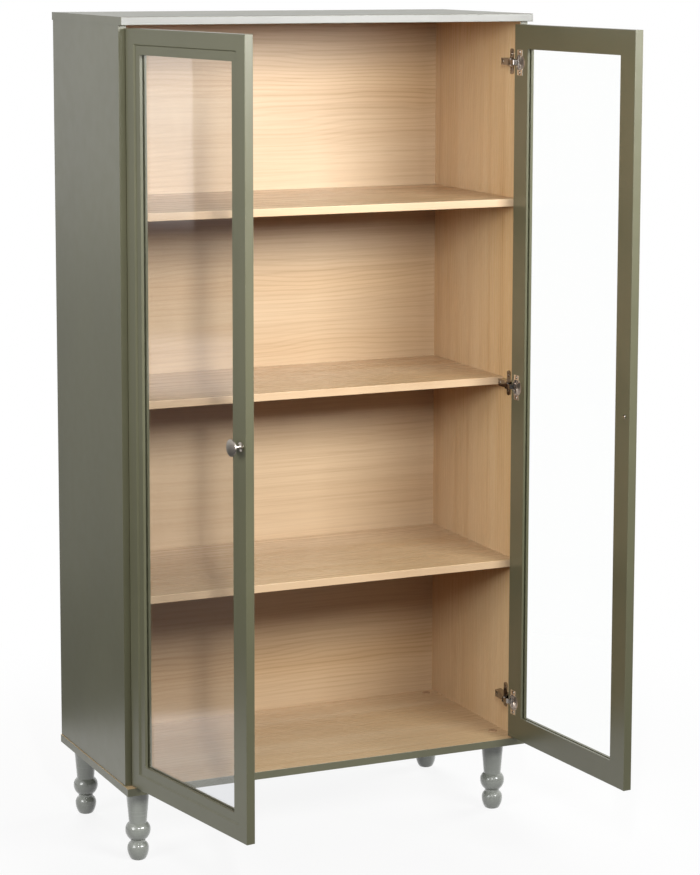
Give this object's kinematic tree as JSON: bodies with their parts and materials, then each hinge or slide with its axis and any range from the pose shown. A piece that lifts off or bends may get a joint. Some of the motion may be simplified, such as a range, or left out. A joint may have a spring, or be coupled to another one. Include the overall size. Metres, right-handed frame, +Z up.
{
  "type": "bookcase with glass doors",
  "caption": "Tall bookcase with framed glass doors on concealed hinges, oak-look shelves inside a green cabinet and turned legs.",
  "frame": {"origin": "on the floor, under the middle of the bounding box with the doors open as stored", "axes": "+Z up, -Y out of the front where the doors open, +X to the right seen from the front"},
  "size_m": [0.9095, 0.8432, 1.7],
  "materials": {
    "green_paint": "satin sage-green paint",
    "oak_veneer": "matt oak-look veneer",
    "leg_lacquer": "gloss grey lacquer",
    "dowel_wood": "raw beech",
    "plastic": "matt",
    "knob_metal": "satin nickel",
    "screw_steel": "zinc plated",
    "nickel": "nickel plated",
    "clear_glass": "clear polished"
  },
  "bodies": {
    "carcass": {"back_panel": "oak_veneer", "back_panel_screws": "screw_steel", "bottom_panel": "green_paint", "carcass_dowels": "dowel_wood", "front_left_leg": "leg_lacquer", "front_right_leg": "leg_lacquer", "left_arm_pins": "nickel", "left_hinge_arm_screws": "screw_steel", "left_hinge_arms": "nickel", "left_hinge_plate_screws": "screw_steel", "left_hinge_plates": "nickel", "left_side_panel": "green_paint", "leg_bolt_caps": "plastic", "leg_bolts": "screw_steel", "leg_glides": "plastic", "lower_shelf": "oak_veneer", "middle_shelf": "oak_veneer", "rear_left_leg": "leg_lacquer", "rear_right_leg": "leg_lacquer", "right_arm_pins": "nickel", "right_hinge_arm_screws": "screw_steel", "right_hinge_arms": "nickel", "right_hinge_plate_screws": "screw_steel", "right_hinge_plates": "nickel", "right_side_panel": "green_paint", "shelf_pins": "nickel", "top_panel": "green_paint", "upper_shelf": "oak_veneer"},
    "left_links": {"left_hinge_links": "nickel"},
    "right_links": {"right_hinge_links": "nickel"},
    "left_door": {"left_cup_pins": "nickel", "left_cup_screws": "screw_steel", "left_door_bottom_rail": "green_paint", "left_door_free_stile": "green_paint", "left_door_glass": "clear_glass", "left_door_hinge_stile": "green_paint", "left_door_top_rail": "green_paint", "left_hinge_cups": "nickel", "left_knob": "knob_metal", "left_knob_screw": "screw_steel"},
    "right_door": {"right_cup_pins": "nickel", "right_cup_screws": "screw_steel", "right_door_bottom_rail": "green_paint", "right_door_free_stile": "green_paint", "right_door_glass": "clear_glass", "right_door_hinge_stile": "green_paint", "right_door_screw": "screw_steel", "right_door_top_rail": "green_paint", "right_hinge_cups": "nickel"}
  },
  "joints": [
    {"name": "left_link_swing", "type": "hinge", "parent": "carcass", "child": "left_links", "pos_m": [-0.41625, 0.02362, 0.925], "axis": [0, 0, 1], "range_deg": [-36.24, 8.79]},
    {"name": "left_door_swing", "type": "hinge", "parent": "left_links", "child": "left_door", "pos_m": [-0.42656, 0.00553, 0.925], "axis": [0, 0, 1], "range_deg": [-28.27, 116.72]},
    {"name": "right_link_swing", "type": "hinge", "parent": "carcass", "child": "right_links", "pos_m": [0.40275, 0.02362, 0.925], "axis": [0, 0, 1], "range_deg": [-2.72, 42.32]},
    {"name": "right_door_swing", "type": "hinge", "parent": "right_links", "child": "right_door", "pos_m": [0.41108, 0.00454, 0.925], "axis": [0, 0, 1], "range_deg": [-136.3, 8.7]}
  ],
  "couplings": [
    {"joint": "left_link_swing", "follows": "left_door_swing", "ratio": -0.31034},
    {"joint": "right_link_swing", "follows": "right_door_swing", "ratio": -0.31034}
  ]
}
